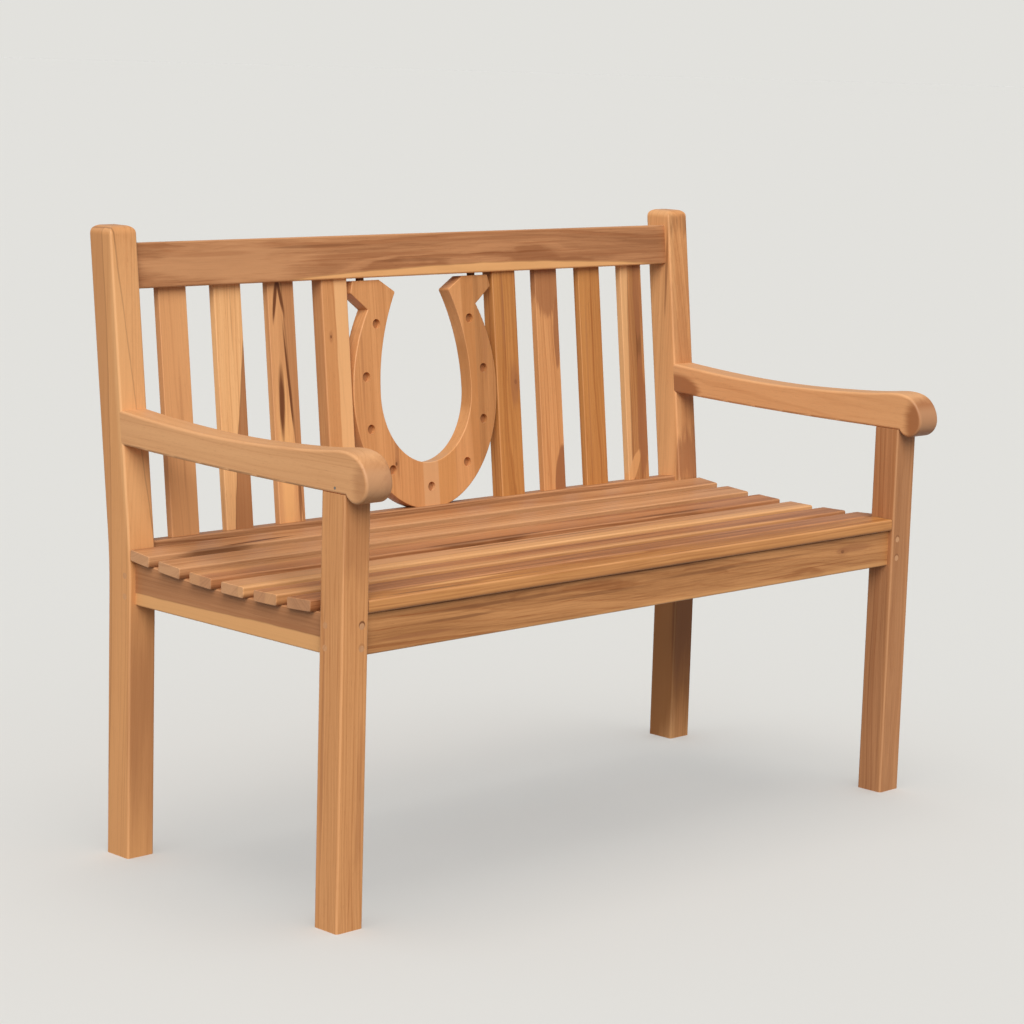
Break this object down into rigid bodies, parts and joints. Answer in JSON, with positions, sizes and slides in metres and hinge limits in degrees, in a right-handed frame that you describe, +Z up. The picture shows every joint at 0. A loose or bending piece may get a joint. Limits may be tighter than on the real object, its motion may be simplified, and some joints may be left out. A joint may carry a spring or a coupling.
{
  "type": "garden bench",
  "caption": "Two-seat teak garden bench with a slatted back around an open horseshoe panel, a dished slat seat and scrolled arms.",
  "frame": {"origin": "on the ground, at the middle of the bench's footprint box", "axes": "+X along the bench to the right of someone facing its front, +Y to the back, +Z up"},
  "size_m": [1.2, 0.5943, 0.9],
  "materials": {
    "teak_frame": "oiled teak, satin, straight grain",
    "teak_rails": "oiled teak, satin, darker heartwood with a pale sapwood edge",
    "teak_seat": "oiled teak, satin, each board a different tone",
    "teak_back": "oiled teak, satin, mixed heartwood and sapwood",
    "teak_horseshoe": "oiled teak, satin, edge-glued staves",
    "teak_pegs": "end grain of teak pegs and dowels",
    "steel_fixings": "plain stainless steel"
  },
  "bodies": {
    "root": {"arm_left": "teak_frame", "arm_pins": "steel_fixings", "arm_right": "teak_frame", "back_leg_left": "teak_frame", "back_leg_right": "teak_frame", "back_slat_1": "teak_back", "back_slat_2": "teak_back", "back_slat_3": "teak_back", "back_slat_4": "teak_back", "back_slat_5": "teak_back", "back_slat_6": "teak_back", "back_stile_left": "teak_back", "back_stile_right": "teak_back", "front_leg_left": "teak_frame", "front_leg_right": "teak_frame", "front_rail_pegs": "teak_pegs", "front_seat_rail": "teak_rails", "horseshoe_foot_dowels": "teak_pegs", "horseshoe_stave_1": "teak_horseshoe", "horseshoe_stave_2": "teak_horseshoe", "horseshoe_stave_3": "teak_horseshoe", "horseshoe_stave_4": "teak_horseshoe", "horseshoe_stave_5": "teak_horseshoe", "horseshoe_stave_6": "teak_horseshoe", "horseshoe_stave_7": "teak_horseshoe", "horseshoe_tip_dowels": "teak_pegs", "lower_back_rail": "teak_rails", "lower_rail_pegs": "teak_pegs", "seat_bearer": "teak_rails", "seat_slat_1": "teak_seat", "seat_slat_2": "teak_seat", "seat_slat_3": "teak_seat", "seat_slat_4": "teak_seat", "seat_slat_5": "teak_seat", "seat_slat_6": "teak_seat", "seat_slat_7": "teak_seat", "seat_slat_screws": "steel_fixings", "side_rail_pegs": "teak_pegs", "side_seat_rail_left": "teak_rails", "side_seat_rail_right": "teak_rails", "top_back_rail": "teak_rails", "top_rail_pegs": "teak_pegs"}
  },
  "joints": []
}
